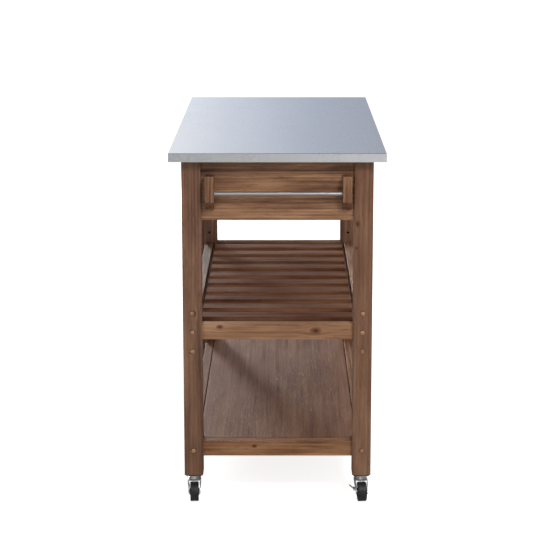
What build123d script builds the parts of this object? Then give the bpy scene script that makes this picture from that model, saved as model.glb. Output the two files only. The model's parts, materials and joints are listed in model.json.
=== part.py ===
from build123d import *
import math
import os

os.makedirs("parts", exist_ok=True)

# A kitchen island cart on casters. Millimetres, +Z up, origin on the floor under the centre
# of the top. Y runs along the cart, with the towel bar at the -Y end. X runs across it, with
# the drawers on the +X side. "bar" and "plain" name the two ends, "left" is -X, "right" is +X.

# ---------------------------------------------------------------- driving dimensions
TOP_WIDTH = 540.0
TOP_LENGTH = 1117.6
TOP_HEIGHT = 914.4
TOP_THICK = 22.0
TOP_OVERHANG = 30.0
SHEET_THICK = 1.2
SHEET_HEM = 15.0
SHEET_EDGE_RADIUS = 1.0

LEG_SIDE = 48.0
LEG_BOTTOM = 64.0
LEG_EASE = 2.0
LEG_FOOT_CHAMFER = 6.0

RAIL_THICK = 24.0
RAIL_EASE = 1.0
APRON_BOTTOM = 738.2
MID_RAIL_BOTTOM = 428.6
MID_RAIL_TOP = 470.0
LOW_RAIL_BOTTOM = 118.0
LOW_RAIL_TOP = 158.0

SLAT_COUNT = 10
SLAT_WIDTH = 52.0
SLAT_PITCH = 94.0
SLAT_THICK = 18.0
SLAT_LENGTH = 392.0
SLAT_EASE = 1.5

CLEAT_SIDE = 20.0
CLEAT_LENGTH = 940.0
PANEL_THICK = 15.0
PANEL_GAP = 2.5

DRAWER_RAIL_TOP_HEIGHT = 20.0
DRAWER_RAIL_BOTTOM_HEIGHT = 24.0
STILE_WIDTH = 36.0
DRAWER_GAP = 2.0
DRAWER_FRONT_THICK = 18.0
DRAWER_WALL = 12.0
DRAWER_SIDE_INSET = 14.0
DRAWER_BOTTOM_THICK = 5.0
DRAWER_BOTTOM_LIFT = 8.0
DRAWER_BACK_X = -196.0
DRAWER_BOX_CLEARANCE = 5.6
GLUE_LINE = 0.1
RUNNER_RISE = 1.0
RUNNER_LEDGE_THICK = 13.0
RUNNER_LEDGE_WIDTH = 15.0
RUNNER_GUIDE_HEIGHT = 27.0
RUNNER_CLEARANCE = 1.0
SLIDING_GAP = 0.4
PULL_WIDTH = 100.0
PULL_DEPTH = 26.0
PULL_RADIUS = 12.0

POST_WIDTH = 23.0
POST_TOP = 855.0
POST_FRONT_BOTTOM = 790.0
POST_BACK_BOTTOM = 764.0
POST_REACH = 40.0
POST_LEFT_X = -169.0
POST_RIGHT_X = 174.0
POST_EASE = 1.5
ROD_RADIUS = 4.8
ROD_HEIGHT = 810.0
ROD_REACH = 23.0
ROD_SOCKET_DEPTH = 10.0

SHELF_HOLE_HEIGHTS = (400.0, 450.0, 500.0)
SHELF_BOLT_HEIGHT = 450.0
LOW_BOLT_HEIGHT = 136.0
BOLT_RADIUS = 3.0
BOLT_HOLE_RADIUS = 3.5
BOLT_HEAD_RADIUS = 6.5
BOLT_HEAD_THICK = 2.6
BOLT_LENGTH = 78.0
BOLT_SOCKET = 4.0
CAP_SHANK_LENGTH = 10.0
NUT_RADIUS = 5.0
NUT_LENGTH = 18.0
NUT_HOLE_DEPTH = 22.0
NUT_DEPTH = 25.0

DOWEL_RADIUS = 4.0
DOWEL_LENGTH = 31.0
DOWEL_HOLE_LENGTH = 32.0
APRON_DOWEL_INSET = 32.0
RAIL_DOWEL_INSET = 10.0
FIT_CLEARANCE = 0.1
CUT_OVERRUN = 1.0

BLOCK_SIDE = 26.0
BLOCK_HEIGHT = 34.0
BLOCK_X = 120.0
SCREW_RADIUS = 2.0
SCREW_HEAD_RADIUS = 3.8
SCREW_HEAD_THICK = 2.4
SCREW_INTO_TOP = 12.0
SCREW_INTO_POST = 20.0
POST_SCREW_INSET = 19.0

WHEEL_RADIUS = 25.0
TREAD_WIDTH = 22.0
TREAD_ROUND = 4.0
HUB_RADIUS = 10.0
HUB_WIDTH = 30.4
WHEEL_DISH_DEPTH = 3.0
WHEEL_DISH_RADIUS = 18.0
CASTER_TRAIL = 22.0
AXLE_RADIUS = 3.0
AXLE_HEAD_RADIUS = 4.5
AXLE_HEAD_THICK = 1.4
AXLE_HEAD_ROUND = 1.0
RUNNING_CLEARANCE = 0.05
FORK_SHEET = 1.8
FORK_WIDTH = 35.2
FORK_BOSS_RADIUS = 8.0
ARM_HALF_WIDTH = 13.3
ARM_FRONT_DROP = 5.0
CROWN_TOP = 54.0
CROWN_RADIUS = 19.0
RACE_RADIUS = 15.0
RACE_TOP_RADIUS = 12.0
RACE_TOP = 59.0
STEM_RADIUS = 4.0
STEM_TOP = 100.0
COLLAR_RADIUS = 15.0
COLLAR_THICK = 4.0
KINGPIN_RADIUS = 7.0
KINGPIN_THICK = 2.6
KINGPIN_GAP = 0.4
BRAKE_PIVOT_HEIGHT = 33.0
BRAKE_PIVOT_OUT = 3.0
BRAKE_PIN_RADIUS = 1.2
BRAKE_BARREL_RADIUS = 2.4
BRAKE_BARREL_LENGTH = 13.2
BRAKE_EAR_THICK = 1.5
BRAKE_EAR_GAP = 14.0
BRAKE_LEVER_LENGTH = 15.0
BRAKE_LEVER_THICK = 1.6
BRAKE_LEVER_ANGLE = 40.0

# ---------------------------------------------------------------- worked-out positions
CORE_BOTTOM = TOP_HEIGHT - TOP_THICK + SHEET_THICK
CORE_THICK = TOP_THICK - 2 * SHEET_THICK
LEG_X = TOP_WIDTH / 2 - TOP_OVERHANG - LEG_SIDE / 2
LEG_Y = TOP_LENGTH / 2 - TOP_OVERHANG - LEG_SIDE / 2
LEG_INNER_X = LEG_X - LEG_SIDE / 2
LEG_INNER_Y = LEG_Y - LEG_SIDE / 2
LEG_OUTER_Y = LEG_Y + LEG_SIDE / 2
RAIL_INNER_X = LEG_X - RAIL_THICK / 2
RAIL_OUTER_X = LEG_X + RAIL_THICK / 2
RAIL_INNER_Y = LEG_Y - RAIL_THICK / 2
RAIL_OUTER_Y = LEG_Y + RAIL_THICK / 2
APRON_HEIGHT = CORE_BOTTOM - APRON_BOTTOM
APRON_DOWELS = (APRON_BOTTOM + APRON_DOWEL_INSET, CORE_BOTTOM - APRON_DOWEL_INSET)
MID_DOWELS = (MID_RAIL_BOTTOM + RAIL_DOWEL_INSET, MID_RAIL_TOP - RAIL_DOWEL_INSET)
LOW_DOWELS = (LOW_RAIL_BOTTOM + RAIL_DOWEL_INSET, LOW_RAIL_TOP - RAIL_DOWEL_INSET)
DRAWER_RAIL_DOWELS = (
    APRON_BOTTOM + DRAWER_RAIL_BOTTOM_HEIGHT / 2,
    CORE_BOTTOM - DRAWER_RAIL_TOP_HEIGHT / 2,
)
DRAWER_OPENING_BOTTOM = APRON_BOTTOM + DRAWER_RAIL_BOTTOM_HEIGHT
DRAWER_OPENING_TOP = CORE_BOTTOM - DRAWER_RAIL_TOP_HEIGHT
RUNNER_LEDGE_TOP = DRAWER_OPENING_BOTTOM + RUNNER_RISE
AXLE_HEIGHT = WHEEL_RADIUS

SIDES = {"left": -1, "right": 1}
ENDS = {"bar": -1, "plain": 1}
# how far each caster happens to be turned about its stem, in degrees
CASTER_TURN = {"bar_left": 3.0, "bar_right": 5.0, "plain_left": -6.0, "plain_right": 2.0}
BRAKED_CASTERS = ("bar_right", "plain_right")


def save(piece, name):
    """Label a finished piece and write it under its own name."""
    piece.part.label = name
    export_step(piece.part, f"parts/{name}.step")


def drill(planes, radius, length):
    """Cut one round hole centred on each plane, along its normal."""
    with Locations(*planes):
        Cylinder(radius, length, mode=Mode.SUBTRACT)


def end_joint_planes(end, heights, sides=(-1, 1)):
    """Where a cross rail at one end meets its legs: one plane per dowel, facing X."""
    return [
        Plane(origin=(side * LEG_INNER_X, end * LEG_Y, z), z_dir=(1, 0, 0))
        for side in sides
        for z in heights
    ]


def side_joint_planes(side, heights, ends=(-1, 1)):
    """Where a long rail on one side meets its legs: one plane per dowel, facing Y."""
    return [
        Plane(origin=(side * LEG_X, end * LEG_INNER_Y, z), z_dir=(0, 1, 0))
        for end in ends
        for z in heights
    ]


def bolt_planes(heights, side, end):
    """On a leg's end face: one plane per bolt, facing out of the cart."""
    return [
        Plane(origin=(side * LEG_X, end * LEG_OUTER_Y, z), x_dir=(1, 0, 0), z_dir=(0, end, 0))
        for z in heights
    ]


def in_place(place, plane):
    """A plane of a caster's own frame, moved to where that caster stands."""
    return Plane(place * plane.location)


def slab_on(plane, width, length, height):
    """A block that stands on a plane, centred on its origin."""
    with Locations(plane):
        Box(width, length, height, align=(Align.CENTER, Align.CENTER, Align.MIN))


# ---------------------------------------------------------------- top
with BuildPart() as top_core:
    slab_on(
        Plane.XY.offset(CORE_BOTTOM),
        TOP_WIDTH - 2 * SHEET_THICK,
        TOP_LENGTH - 2 * SHEET_THICK,
        CORE_THICK,
    )
save(top_core, "top_core")

with BuildPart() as top_sheet:
    slab_on(Plane.XY.offset(TOP_HEIGHT - TOP_THICK), TOP_WIDTH, TOP_LENGTH, TOP_THICK)
    fillet(top_sheet.edges().filter_by(Axis.Z), SHEET_EDGE_RADIUS)
    fillet(top_sheet.edges().group_by(Axis.Z)[-1], SHEET_EDGE_RADIUS)
    with Locations(Plane.XY.offset(CORE_BOTTOM)):
        Box(
            TOP_WIDTH - 2 * SHEET_THICK,
            TOP_LENGTH - 2 * SHEET_THICK,
            CORE_THICK,
            align=(Align.CENTER, Align.CENTER, Align.MIN),
            mode=Mode.SUBTRACT,
        )
    with Locations(Plane.XY.offset(TOP_HEIGHT - TOP_THICK)):
        Box(
            TOP_WIDTH - 2 * SHEET_HEM,
            TOP_LENGTH - 2 * SHEET_HEM,
            SHEET_THICK,
            align=(Align.CENTER, Align.CENTER, Align.MIN),
            mode=Mode.SUBTRACT,
        )
save(top_sheet, "top_sheet")

# ---------------------------------------------------------------- legs
STEM_HOLE_DEPTH = STEM_TOP - LEG_BOTTOM + CUT_OVERRUN
for end_name, end in ENDS.items():
    for side_name, side in SIDES.items():
        with BuildPart() as leg:
            foot = Plane(origin=(side * LEG_X, end * LEG_Y, LEG_BOTTOM))
            slab_on(foot, LEG_SIDE, LEG_SIDE, CORE_BOTTOM - LEG_BOTTOM)
            chamfer(leg.edges().group_by(Axis.Z)[0], LEG_FOOT_CHAMFER)
            flat_edges = leg.edges().filter_by(Axis.X) + leg.edges().filter_by(Axis.Y)
            fillet(leg.edges() - flat_edges, LEG_EASE)
            cross_heights = APRON_DOWELS + MID_DOWELS + LOW_DOWELS
            drill(
                end_joint_planes(end, cross_heights, (side,)),
                DOWEL_RADIUS + FIT_CLEARANCE,
                DOWEL_HOLE_LENGTH,
            )
            long_heights = APRON_DOWELS if side < 0 else DRAWER_RAIL_DOWELS
            drill(
                side_joint_planes(side, long_heights, (end,)),
                DOWEL_RADIUS + FIT_CLEARANCE,
                DOWEL_HOLE_LENGTH,
            )
            drill(
                bolt_planes(SHELF_HOLE_HEIGHTS + (LOW_BOLT_HEIGHT,), side, end),
                BOLT_HOLE_RADIUS,
                2 * (LEG_SIDE + CUT_OVERRUN),
            )
            drill([foot], STEM_RADIUS + RUNNING_CLEARANCE, 2 * STEM_HOLE_DEPTH)
        save(leg, f"leg_{end_name}_{side_name}")


# ---------------------------------------------------------------- rails and aprons
def cross_rail(end, bottom, top, dowel_heights):
    """A rail across one end of the cart, between two legs."""
    with BuildPart() as rail:
        slab_on(Plane(origin=(0, end * LEG_Y, bottom)), 2 * LEG_INNER_X, RAIL_THICK, top - bottom)
        fillet(rail.edges().filter_by(Axis.X), RAIL_EASE)
        drill(
            end_joint_planes(end, dowel_heights),
            DOWEL_RADIUS + FIT_CLEARANCE,
            DOWEL_HOLE_LENGTH,
        )
    return rail


def bolted_side_rail(side, bottom, top, bolt_height):
    """A long rail between two legs, with a bolt hole and a barrel nut hole at each end."""
    with BuildPart() as rail:
        slab_on(Plane(origin=(side * LEG_X, 0, bottom)), RAIL_THICK, 2 * LEG_INNER_Y, top - bottom)
        fillet(rail.edges().filter_by(Axis.Y), RAIL_EASE)
        for end in ENDS.values():
            drill(
                [Plane(origin=(side * LEG_X, end * LEG_INNER_Y, bolt_height), z_dir=(0, 1, 0))],
                BOLT_RADIUS + FIT_CLEARANCE,
                2 * (BOLT_LENGTH - LEG_SIDE + CUT_OVERRUN),
            )
            nut_y = end * (LEG_INNER_Y - NUT_DEPTH)
            nut_hole = Plane(origin=(side * RAIL_INNER_X, nut_y, bolt_height), z_dir=(1, 0, 0))
            drill([nut_hole], NUT_RADIUS + FIT_CLEARANCE, 2 * NUT_HOLE_DEPTH)
    return rail


for end_name, end in ENDS.items():
    save(cross_rail(end, APRON_BOTTOM, CORE_BOTTOM, APRON_DOWELS), f"apron_{end_name}_end")
    save(cross_rail(end, MID_RAIL_BOTTOM, MID_RAIL_TOP, MID_DOWELS), f"mid_rail_{end_name}_end")
    save(cross_rail(end, LOW_RAIL_BOTTOM, LOW_RAIL_TOP, LOW_DOWELS), f"low_rail_{end_name}_end")

for side_name, side in SIDES.items():
    mid_rail = bolted_side_rail(side, MID_RAIL_BOTTOM, MID_RAIL_TOP, SHELF_BOLT_HEIGHT)
    save(mid_rail, f"mid_rail_{side_name}")
    low_rail = bolted_side_rail(side, LOW_RAIL_BOTTOM, LOW_RAIL_TOP, LOW_BOLT_HEIGHT)
    save(low_rail, f"low_rail_{side_name}")

with BuildPart() as apron_left:
    slab_on(
        Plane(origin=(-LEG_X, 0, APRON_BOTTOM)), RAIL_THICK, 2 * LEG_INNER_Y, APRON_HEIGHT
    )
    fillet(apron_left.edges().filter_by(Axis.Y), RAIL_EASE)
    drill(
        side_joint_planes(-1, APRON_DOWELS), DOWEL_RADIUS + FIT_CLEARANCE, DOWEL_HOLE_LENGTH
    )
save(apron_left, "apron_left")

# ---------------------------------------------------------------- shelves
for index in range(SLAT_COUNT):
    slat_y = (index - (SLAT_COUNT - 1) / 2) * SLAT_PITCH
    with BuildPart() as slat:
        slab_on(
            Plane(origin=(0, slat_y, MID_RAIL_TOP - SLAT_THICK)),
            SLAT_LENGTH,
            SLAT_WIDTH,
            SLAT_THICK,
        )
        fillet(slat.edges().filter_by(Axis.X), SLAT_EASE)
    save(slat, f"slat_{index + 1:02d}")

CLEAT_X = RAIL_INNER_X - CLEAT_SIDE / 2
with BuildPart() as shelf_cleats:
    for shelf_underside in (MID_RAIL_TOP - SLAT_THICK, LOW_RAIL_TOP - PANEL_THICK):
        for side in SIDES.values():
            cleat_base = Plane(origin=(side * CLEAT_X, 0, shelf_underside - CLEAT_SIDE))
            slab_on(cleat_base, CLEAT_SIDE, CLEAT_LENGTH, CLEAT_SIDE)
save(shelf_cleats, "shelf_cleats")

PANEL_HALF_WIDTH = RAIL_INNER_X - PANEL_GAP
PANEL_HALF_LENGTH = RAIL_INNER_Y - PANEL_GAP
with BuildPart() as low_panel:
    with BuildSketch(Plane.XY.offset(LOW_RAIL_TOP - PANEL_THICK)):
        Rectangle(2 * PANEL_HALF_WIDTH, 2 * PANEL_HALF_LENGTH)
        with GridLocations(2 * LEG_X, 2 * LEG_Y, 2, 2):
            Rectangle(
                LEG_SIDE + 2 * PANEL_GAP, LEG_SIDE + 2 * PANEL_GAP, mode=Mode.SUBTRACT
            )
    extrude(amount=PANEL_THICK)
    chamfer(low_panel.edges().group_by(Axis.Z)[-1], RAIL_EASE)
save(low_panel, "low_panel")

# ---------------------------------------------------------------- drawer frame and runners
with BuildPart() as drawer_rails:
    for bottom, height in (
        (APRON_BOTTOM, DRAWER_RAIL_BOTTOM_HEIGHT),
        (DRAWER_OPENING_TOP, DRAWER_RAIL_TOP_HEIGHT),
    ):
        slab_on(Plane(origin=(LEG_X, 0, bottom)), RAIL_THICK, 2 * LEG_INNER_Y, height)
    fillet(drawer_rails.edges().filter_by(Axis.Y), RAIL_EASE)
    drill(
        side_joint_planes(1, DRAWER_RAIL_DOWELS),
        DOWEL_RADIUS + FIT_CLEARANCE,
        DOWEL_HOLE_LENGTH,
    )
save(drawer_rails, "drawer_rails")

with BuildPart() as drawer_stile:
    slab_on(
        Plane(origin=(LEG_X, 0, DRAWER_OPENING_BOTTOM)),
        RAIL_THICK,
        STILE_WIDTH,
        DRAWER_OPENING_TOP - DRAWER_OPENING_BOTTOM,
    )
save(drawer_stile, "drawer_stile")

# Each drawer spans from the stile to a leg. These are its edges along Y for the +Y drawer.
FRONT_NEAR_Y = STILE_WIDTH / 2 + DRAWER_GAP
FRONT_FAR_Y = LEG_INNER_Y - DRAWER_GAP
BOX_NEAR_Y = FRONT_NEAR_Y + DRAWER_SIDE_INSET
BOX_FAR_Y = FRONT_FAR_Y - DRAWER_SIDE_INSET
BOX_BOTTOM = RUNNER_LEDGE_TOP + SLIDING_GAP
BOX_TOP = DRAWER_OPENING_TOP - DRAWER_BOX_CLEARANCE
FRONT_BOTTOM = DRAWER_OPENING_BOTTOM + DRAWER_GAP
FRONT_TOP = DRAWER_OPENING_TOP - DRAWER_GAP
FRONT_BACK_X = RAIL_OUTER_X - DRAWER_FRONT_THICK
STOP_X = DRAWER_BACK_X - SLIDING_GAP


def span_box(low, high):
    """A block from its lowest corner to its highest corner."""
    middle = [(a + b) / 2 for a, b in zip(low, high)]
    size = [b - a for a, b in zip(low, high)]
    with Locations(tuple(middle)):
        Box(*size)


def mirrored_span(end, x_range, y_range, z_range):
    """The same block for the +Y drawer or, mirrored, for the -Y drawer."""
    near, far = sorted((end * y_range[0], end * y_range[1]))
    span_box((x_range[0], near, z_range[0]), (x_range[1], far, z_range[1]))


with BuildPart() as drawer_runners:
    for end in ENDS.values():
        for wall_y, ledge_direction in ((BOX_NEAR_Y, 1), (BOX_FAR_Y, -1)):
            guide_face = wall_y - ledge_direction * RUNNER_CLEARANCE
            guide_back = STILE_WIDTH / 2 if ledge_direction > 0 else LEG_INNER_Y
            ledge_edge = guide_face + ledge_direction * RUNNER_LEDGE_WIDTH
            full_width = sorted((guide_back, ledge_edge))
            guide_width = sorted((guide_back, guide_face))
            long_span = (-RAIL_INNER_X, RAIL_INNER_X)
            ledge_bottom = RUNNER_LEDGE_TOP - RUNNER_LEDGE_THICK
            guide_top = RUNNER_LEDGE_TOP + RUNNER_GUIDE_HEIGHT
            mirrored_span(end, long_span, full_width, (ledge_bottom, RUNNER_LEDGE_TOP))
            mirrored_span(end, long_span, guide_width, (RUNNER_LEDGE_TOP, guide_top))
            mirrored_span(
                end, (-RAIL_INNER_X, STOP_X), full_width, (RUNNER_LEDGE_TOP, guide_top)
            )
save(drawer_runners, "drawer_runners")

# ---------------------------------------------------------------- drawers
FRONT_MIDDLE_Y = (FRONT_NEAR_Y + FRONT_FAR_Y) / 2
for end_name, end in ENDS.items():
    with BuildPart() as drawer_front:
        mirrored_span(
            end, (FRONT_BACK_X, RAIL_OUTER_X), (FRONT_NEAR_Y, FRONT_FAR_Y), (FRONT_BOTTOM, FRONT_TOP)
        )
        fillet(drawer_front.faces().sort_by(Axis.X)[-1].edges(), RAIL_EASE)
        pull_plane = Plane(
            origin=(RAIL_OUTER_X, end * FRONT_MIDDLE_Y, FRONT_TOP), x_dir=(0, 1, 0), z_dir=(1, 0, 0)
        )
        with BuildSketch(pull_plane):
            RectangleRounded(PULL_WIDTH, 2 * PULL_DEPTH, PULL_RADIUS)
        extrude(amount=2 * DRAWER_FRONT_THICK, both=True, mode=Mode.SUBTRACT)
    save(drawer_front, f"drawer_{end_name}_front")

    with BuildPart() as drawer_box:
        for wall_y, direction in ((BOX_NEAR_Y, 1), (BOX_FAR_Y, -1)):
            wall_span = sorted((wall_y, wall_y + direction * DRAWER_WALL))
            mirrored_span(
                end, (DRAWER_BACK_X, FRONT_BACK_X), wall_span, (BOX_BOTTOM, BOX_TOP)
            )
        inner_near = BOX_NEAR_Y + DRAWER_WALL + GLUE_LINE
        inner_far = BOX_FAR_Y - DRAWER_WALL - GLUE_LINE
        inner_span = (inner_near, inner_far)
        inner_back_x = DRAWER_BACK_X + DRAWER_WALL
        mirrored_span(end, (DRAWER_BACK_X, inner_back_x), inner_span, (BOX_BOTTOM, BOX_TOP))
        floor_bottom = BOX_BOTTOM + DRAWER_BOTTOM_LIFT
        mirrored_span(
            end,
            (inner_back_x + GLUE_LINE, FRONT_BACK_X),
            inner_span,
            (floor_bottom, floor_bottom + DRAWER_BOTTOM_THICK),
        )
    save(drawer_box, f"drawer_{end_name}_box")

# ---------------------------------------------------------------- towel bar
POST_BACK_Y = -RAIL_OUTER_Y
POST_FRONT_Y = POST_BACK_Y - POST_REACH
ROD_Y = POST_BACK_Y - ROD_REACH
ROD_LEFT = POST_LEFT_X + POST_WIDTH / 2 - ROD_SOCKET_DEPTH
ROD_RIGHT = POST_RIGHT_X - POST_WIDTH / 2 + ROD_SOCKET_DEPTH
for side_name, post_x in {"left": POST_LEFT_X, "right": POST_RIGHT_X}.items():
    with BuildPart() as towel_post:
        with BuildSketch(Plane(origin=(post_x, 0, 0), x_dir=(0, 1, 0), z_dir=(1, 0, 0))):
            with BuildLine():
                Polyline(
                    (POST_BACK_Y, POST_TOP),
                    (POST_FRONT_Y, POST_TOP),
                    (POST_FRONT_Y, POST_FRONT_BOTTOM),
                    (POST_BACK_Y, POST_BACK_BOTTOM),
                    close=True,
                )
            make_face()
        extrude(amount=POST_WIDTH / 2, both=True)
        front_edges = towel_post.edges().filter_by(
            lambda edge: edge.center().Y < POST_BACK_Y - POST_EASE
        )
        fillet(front_edges, POST_EASE)
        drill(
            [Plane(origin=((ROD_LEFT + ROD_RIGHT) / 2, ROD_Y, ROD_HEIGHT), z_dir=(1, 0, 0))],
            ROD_RADIUS + FIT_CLEARANCE,
            ROD_RIGHT - ROD_LEFT + CUT_OVERRUN,
        )
    save(towel_post, f"towel_post_{side_name}")

with BuildPart() as towel_rod:
    with Locations(Plane(origin=((ROD_LEFT + ROD_RIGHT) / 2, ROD_Y, ROD_HEIGHT), z_dir=(1, 0, 0))):
        Cylinder(ROD_RADIUS, ROD_RIGHT - ROD_LEFT)
save(towel_rod, "towel_rod")


# ---------------------------------------------------------------- fasteners
def headed_pin(plane, shank_radius, shank_length):
    """A domed head with a hexagon socket on the plane, and a shank that goes down into it."""
    with Locations(plane):
        Cylinder(
            shank_radius, shank_length, align=(Align.CENTER, Align.CENTER, Align.MAX)
        )
        Cone(
            BOLT_HEAD_RADIUS,
            BOLT_HEAD_RADIUS - BOLT_HEAD_THICK / 2,
            BOLT_HEAD_THICK,
            align=(Align.CENTER, Align.CENTER, Align.MIN),
        )
    with BuildSketch(plane.offset(BOLT_HEAD_THICK)) as socket:
        RegularPolygon(BOLT_SOCKET / 2, 6, major_radius=False)
    extrude(socket.sketch, amount=-BOLT_HEAD_THICK, mode=Mode.SUBTRACT)


corners = [(side, end) for side in SIDES.values() for end in ENDS.values()]

with BuildPart() as connector_bolts:
    for side, end in corners:
        for plane in bolt_planes((SHELF_BOLT_HEIGHT, LOW_BOLT_HEIGHT), side, end):
            headed_pin(plane, BOLT_RADIUS, BOLT_LENGTH)
save(connector_bolts, "connector_bolts")

with BuildPart() as hole_caps:
    spare_heights = [z for z in SHELF_HOLE_HEIGHTS if z != SHELF_BOLT_HEIGHT]
    for side, end in corners:
        for plane in bolt_planes(spare_heights, side, end):
            headed_pin(plane, BOLT_HOLE_RADIUS - FIT_CLEARANCE, CAP_SHANK_LENGTH)
save(hole_caps, "hole_caps")

with BuildPart() as barrel_nuts:
    for side, end in corners:
        for z in (SHELF_BOLT_HEIGHT, LOW_BOLT_HEIGHT):
            nut_y = end * (LEG_INNER_Y - NUT_DEPTH)
            with Locations(Plane(origin=(side * LEG_X, nut_y, z), z_dir=(1, 0, 0))):
                Cylinder(NUT_RADIUS, NUT_LENGTH)
            thread = Plane(origin=(side * LEG_X, nut_y, z), z_dir=(0, 1, 0))
            drill([thread], BOLT_RADIUS + RUNNING_CLEARANCE, 4 * NUT_RADIUS)
save(barrel_nuts, "barrel_nuts")

with BuildPart() as dowels:
    dowel_planes = side_joint_planes(-1, APRON_DOWELS) + side_joint_planes(1, DRAWER_RAIL_DOWELS)
    for end in ENDS.values():
        dowel_planes += end_joint_planes(end, APRON_DOWELS + MID_DOWELS + LOW_DOWELS)
    with Locations(*dowel_planes):
        Cylinder(DOWEL_RADIUS, DOWEL_LENGTH)
save(dowels, "dowels")

# Blocks glued and screwed inside the end aprons, which hold the top down.
BLOCK_Y = RAIL_INNER_Y - BLOCK_SIDE / 2
BLOCK_BOTTOM = CORE_BOTTOM - BLOCK_HEIGHT
block_centres = [(side * BLOCK_X, end * BLOCK_Y) for side, end in corners]
block_screw_planes = [
    Plane(origin=(x, y, BLOCK_BOTTOM), z_dir=(0, 0, -1)) for x, y in block_centres
]
post_screw_planes = [
    Plane(origin=(x, -RAIL_INNER_Y, z), z_dir=(0, 1, 0))
    for x in (POST_LEFT_X, POST_RIGHT_X)
    for z in (POST_BACK_BOTTOM + POST_SCREW_INSET, POST_TOP - POST_SCREW_INSET)
]
with BuildPart() as corner_blocks:
    for x, y in block_centres:
        slab_on(Plane(origin=(x, y, BLOCK_BOTTOM)), BLOCK_SIDE, BLOCK_SIDE, BLOCK_HEIGHT)
save(corner_blocks, "corner_blocks")


def wood_screw(plane, length):
    """A pan head on the plane, and a shank that runs into the wood behind it."""
    with Locations(plane):
        Cylinder(SCREW_RADIUS, length, align=(Align.CENTER, Align.CENTER, Align.MAX))
        Cylinder(
            SCREW_HEAD_RADIUS, SCREW_HEAD_THICK, align=(Align.CENTER, Align.CENTER, Align.MIN)
        )


with BuildPart() as wood_screws:
    for plane in block_screw_planes:
        wood_screw(plane, BLOCK_HEIGHT + SCREW_INTO_TOP)
    for plane in post_screw_planes:
        wood_screw(plane, RAIL_THICK + SCREW_INTO_POST)
save(wood_screws, "wood_screws")

# ---------------------------------------------------------------- casters
# Each caster is made in its own turned frame: local X along the axle, local -Y the trail.
ARM_OUTER_X = FORK_WIDTH / 2
ARM_INNER_X = ARM_OUTER_X - FORK_SHEET
CROWN_BOTTOM = CROWN_TOP - FORK_SHEET
COLLAR_BOTTOM = LEG_BOTTOM - COLLAR_THICK
KINGPIN_TOP = CROWN_BOTTOM - KINGPIN_GAP
AXLE_MIDDLE = Plane(origin=(0, -CASTER_TRAIL, AXLE_HEIGHT), z_dir=(1, 0, 0))
BRAKE_PIVOT = Plane(
    origin=(-ARM_OUTER_X - BRAKE_PIVOT_OUT, -CASTER_TRAIL, BRAKE_PIVOT_HEIGHT), z_dir=(0, 1, 0)
)


def caster_fork(place, braked):
    """A bent sheet fork: crown, ball race housing, two arms and, if braked, two pivot ears."""
    with BuildPart() as fork:
        with BuildSketch(in_place(place, Plane.XY.offset(CROWN_BOTTOM))):
            Circle(CROWN_RADIUS)
            Rectangle(FORK_WIDTH, 2 * ARM_HALF_WIDTH)
        extrude(amount=FORK_SHEET)
        with Locations(in_place(place, Plane.XY.offset(CROWN_TOP))):
            Cone(
                RACE_RADIUS,
                RACE_TOP_RADIUS,
                RACE_TOP - CROWN_TOP,
                align=(Align.CENTER, Align.CENTER, Align.MIN),
            )
        for arm_x in (ARM_INNER_X, -ARM_OUTER_X):
            with BuildSketch(in_place(place, Plane.YZ.offset(arm_x))):
                with BuildLine():
                    Polyline(
                        (-ARM_HALF_WIDTH, CROWN_TOP - FORK_SHEET / 2),
                        (ARM_HALF_WIDTH, CROWN_TOP - FORK_SHEET / 2),
                        (ARM_HALF_WIDTH, CROWN_BOTTOM - ARM_FRONT_DROP),
                        (FORK_BOSS_RADIUS / 2 - CASTER_TRAIL, AXLE_HEIGHT - FORK_BOSS_RADIUS / 2),
                        (-CASTER_TRAIL - FORK_BOSS_RADIUS, AXLE_HEIGHT),
                        close=True,
                    )
                make_face()
                with Locations((-CASTER_TRAIL, AXLE_HEIGHT)):
                    Circle(FORK_BOSS_RADIUS)
            extrude(amount=FORK_SHEET)
        with Locations(in_place(place, Plane.XY.offset(RACE_TOP))):
            Cylinder(
                STEM_RADIUS + RUNNING_CLEARANCE,
                2 * (RACE_TOP - CROWN_BOTTOM + CUT_OVERRUN),
                mode=Mode.SUBTRACT,
            )
        drill([in_place(place, AXLE_MIDDLE)], AXLE_RADIUS + RUNNING_CLEARANCE, 2 * FORK_WIDTH)
        if braked:
            ear_reach = BRAKE_PIVOT_OUT + BRAKE_BARREL_RADIUS
            for direction in (-1, 1):
                ear_y = -CASTER_TRAIL + direction * (BRAKE_EAR_GAP + BRAKE_EAR_THICK) / 2
                ear = Plane(origin=(-ARM_OUTER_X, ear_y, BRAKE_PIVOT_HEIGHT))
                with Locations(in_place(place, ear)):
                    Box(
                        ear_reach,
                        BRAKE_EAR_THICK,
                        2 * BRAKE_BARREL_RADIUS,
                        align=(Align.MAX, Align.CENTER, Align.CENTER),
                    )
            with Locations(in_place(place, BRAKE_PIVOT)):
                Cylinder(BRAKE_PIN_RADIUS, BRAKE_EAR_GAP + 2 * BRAKE_EAR_THICK)
    return fork


def caster_wheel(place):
    """A wheel with a rounded tread, dished faces and a hub that reaches both arms."""
    with BuildPart() as wheel:
        axle_plane = in_place(place, AXLE_MIDDLE)
        with Locations(axle_plane):
            Cylinder(WHEEL_RADIUS, TREAD_WIDTH)
        fillet(wheel.edges().filter_by(GeomType.CIRCLE), TREAD_ROUND)
        for face in (-1, 1):
            dish = AXLE_MIDDLE.offset(face * (TREAD_WIDTH - WHEEL_DISH_DEPTH) / 2)
            drill([in_place(place, dish)], WHEEL_DISH_RADIUS, WHEEL_DISH_DEPTH)
        with Locations(axle_plane):
            Cylinder(HUB_RADIUS, HUB_WIDTH)
        drill([axle_plane], AXLE_RADIUS + RUNNING_CLEARANCE, 2 * FORK_WIDTH)
    return wheel


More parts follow.
